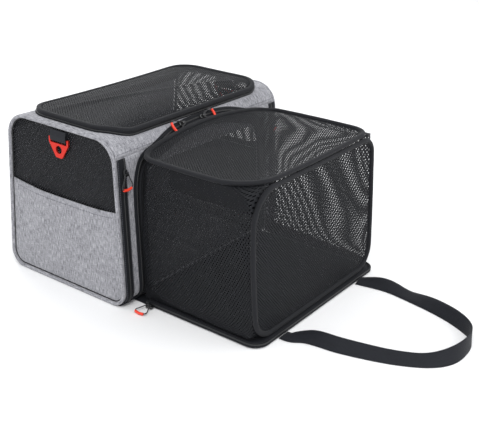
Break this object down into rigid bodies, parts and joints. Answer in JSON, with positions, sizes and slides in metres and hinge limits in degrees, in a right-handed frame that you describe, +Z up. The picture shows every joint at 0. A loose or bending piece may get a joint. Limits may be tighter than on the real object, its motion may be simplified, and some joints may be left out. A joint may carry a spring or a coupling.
{
  "type": "pet carrier bag",
  "caption": "Soft-sided pet carrier with a zipped net flap on top, net windows and pockets on its ends, and a net tent that folds out of its front onto a hinged cover.",
  "frame": {"origin": "middle of the carrier body's footprint, on the ground", "axes": "+X along the carrier, +Y towards its back, away from the tent, +Z up"},
  "size_m": [0.432, 0.7539, 0.2885],
  "materials": {
    "heather_polyester": "heathered woven polyester over thin foam",
    "base_fabric": "coated woven polyester",
    "lining": "smooth woven polyester",
    "polyester_net": "warp-knitted diamond net",
    "binding": "folded woven tape",
    "zip_tape": "coil zip tape",
    "webbing": "ribbed polyester webbing",
    "plush": "short plush over foam",
    "foam_board": "stiff foam board",
    "spring_steel": "drawn wire",
    "anodised_red": "satin anodised",
    "slider_metal": "satin black",
    "pull_cord": "braided cord",
    "pull_sleeve": "moulded soft rubber"
  },
  "bodies": {
    "carrier": {"back_panel": "heather_polyester", "base_board": "foam_board", "base_panel": "base_fabric", "corner_zip_tapes": "zip_tape", "end_net_left": "polyester_net", "end_net_right": "polyester_net", "end_panel_left": "heather_polyester", "end_panel_right": "heather_polyester", "end_piping_left": "heather_polyester", "end_piping_right": "heather_polyester", "end_pocket_left": "heather_polyester", "end_pocket_right": "heather_polyester", "end_wires": "spring_steel", "expansion_zip_tape": "zip_tape", "front_panel": "heather_polyester", "passage_binding": "binding", "plush_mat": "plush", "rear_handle_patches": "webbing", "ring_tab_left": "webbing", "ring_tab_right": "webbing", "tent_roof_binding": "binding", "tent_roof_net": "polyester_net", "tent_roof_wire": "spring_steel", "tent_side_left": "polyester_net", "tent_side_right": "polyester_net", "top_panel": "heather_polyester", "top_zip_tape": "zip_tape"},
    "top_flap": {"flap_zip_tape": "zip_tape", "flap_binding": "binding", "flap_net": "polyester_net"},
    "cover": {"cover_fabric": "heather_polyester", "cover_board": "foam_board", "cover_lining": "lining", "cover_rim": "binding", "front_handle_patches": "webbing"},
    "tent_end": {"tent_end_binding": "binding", "tent_end_wire": "spring_steel", "tent_end_net": "polyester_net"},
    "front_handle": {"front_handle": "webbing"},
    "rear_handle": {"rear_handle": "webbing"},
    "strap_ring_left": {"strap_ring_left": "anodised_red"},
    "strap_ring_right": {"strap_ring_right": "anodised_red"},
    "slider_top_left": {"slider_top_left": "slider_metal"},
    "pull_top_left": {"pull_cord_top_left": "pull_cord", "pull_sleeve_top_left": "pull_sleeve"},
    "slider_corner_left": {"slider_corner_left": "slider_metal"},
    "pull_corner_left": {"pull_cord_corner_left": "pull_cord", "pull_sleeve_corner_left": "pull_sleeve"},
    "slider_expansion_left": {"slider_expansion_left": "slider_metal"},
    "pull_expansion_left": {"pull_cord_expansion_left": "pull_cord", "pull_sleeve_expansion_left": "pull_sleeve"},
    "slider_top_right": {"slider_top_right": "slider_metal"},
    "pull_top_right": {"pull_cord_top_right": "pull_cord", "pull_sleeve_top_right": "pull_sleeve"},
    "slider_corner_right": {"slider_corner_right": "slider_metal"},
    "pull_corner_right": {"pull_cord_corner_right": "pull_cord", "pull_sleeve_corner_right": "pull_sleeve"},
    "slider_expansion_right": {"slider_expansion_right": "slider_metal"},
    "pull_expansion_right": {"pull_cord_expansion_right": "pull_cord", "pull_sleeve_expansion_right": "pull_sleeve"}
  },
  "joints": [
    {"name": "expansion_fold", "type": "hinge", "parent": "carrier", "child": "cover", "pos_m": [0, -0.148, 0.0058], "axis": [-1, 0, 0], "range_deg": [0, 93], "deforming": ["tent_roof_binding", "tent_roof_net", "tent_roof_wire", "tent_side_left", "tent_side_right"]},
    {"name": "end_hoop_fold", "type": "hinge", "parent": "cover", "child": "tent_end", "pos_m": [0, -0.359, 0.0114], "axis": [-1, 0, 0], "range_deg": [0, 86.5], "deforming": ["tent_end_binding", "tent_end_wire", "tent_end_net"]},
    {"name": "flap_open", "type": "hinge", "parent": "carrier", "child": "top_flap", "pos_m": [0, 0.099, 0.27914], "axis": [-1, 0, 0], "range_deg": [0, 100]},
    {"name": "front_handle_lift", "type": "hinge", "parent": "cover", "child": "front_handle", "pos_m": [0, -0.3724, 0.0009], "axis": [-1, 0, 0], "range_deg": [0, 25]},
    {"name": "rear_handle_lift", "type": "hinge", "parent": "carrier", "child": "rear_handle", "pos_m": [0, 0.12367, 0.23769], "axis": [1, 0, 0], "range_deg": [0, 170]},
    {"name": "ring_swing_left", "type": "hinge", "parent": "carrier", "child": "strap_ring_left", "pos_m": [-0.2105, 0, 0.256], "axis": [0, 1, 0], "range_deg": [0, 110]},
    {"name": "ring_swing_right", "type": "hinge", "parent": "carrier", "child": "strap_ring_right", "pos_m": [0.2105, 0, 0.256], "axis": [0, -1, 0], "range_deg": [0, 110]},
    {"name": "slide_top_left", "type": "slide", "parent": "carrier", "child": "slider_top_left", "axis": [1, 0, 0], "range_m": [-0.045, 0.012]},
    {"name": "pull_swing_top_left", "type": "hinge", "parent": "slider_top_left", "child": "pull_top_left", "pos_m": [-0.047, -0.11568, 0.26942], "axis": [-0.1045, 0.6417, 0.7598], "range_deg": [0, 90]},
    {"name": "slide_corner_left", "type": "slide", "parent": "carrier", "child": "slider_corner_left", "axis": [0, 0.0606, 0.9982], "range_m": [-0.15, 0.012]},
    {"name": "pull_swing_corner_left", "type": "hinge", "parent": "slider_corner_left", "child": "pull_corner_left", "pos_m": [-0.194, -0.12797, 0.22641], "axis": [-1, 0, 0], "range_deg": [0, 90]},
    {"name": "slide_expansion_left", "type": "slide", "parent": "cover", "child": "slider_expansion_left", "axis": [0, 1, 0], "range_m": [-0.15, 0]},
    {"name": "pull_swing_expansion_left", "type": "hinge", "parent": "slider_expansion_left", "child": "pull_expansion_left", "pos_m": [-0.1824, -0.16, 0.0073], "axis": [0, 1, 0], "range_deg": [0, 24]},
    {"name": "slide_top_right", "type": "slide", "parent": "carrier", "child": "slider_top_right", "axis": [1, 0, 0], "range_m": [-0.012, 0.082]},
    {"name": "pull_swing_top_right", "type": "hinge", "parent": "slider_top_right", "child": "pull_top_right", "pos_m": [0.006, -0.11568, 0.26942], "axis": [-0.1045, -0.6417, -0.7598], "range_deg": [0, 90]},
    {"name": "slide_corner_right", "type": "slide", "parent": "carrier", "child": "slider_corner_right", "axis": [0, 0.0606, 0.9982], "range_m": [-0.15, 0.012]},
    {"name": "pull_swing_corner_right", "type": "hinge", "parent": "slider_corner_right", "child": "pull_corner_right", "pos_m": [0.194, -0.12797, 0.22641], "axis": [-1, 0, 0], "range_deg": [0, 90]},
    {"name": "slide_expansion_right", "type": "slide", "parent": "cover", "child": "slider_expansion_right", "axis": [0, 1, 0], "range_m": [-0.15, 0]},
    {"name": "pull_swing_expansion_right", "type": "hinge", "parent": "slider_expansion_right", "child": "pull_expansion_right", "pos_m": [0.1824, -0.16, 0.0073], "axis": [0, -1, 0], "range_deg": [0, 24]}
  ],
  "couplings": [
    {"joint": "end_hoop_fold", "follows": "expansion_fold", "ratio": 0.93}
  ]
}
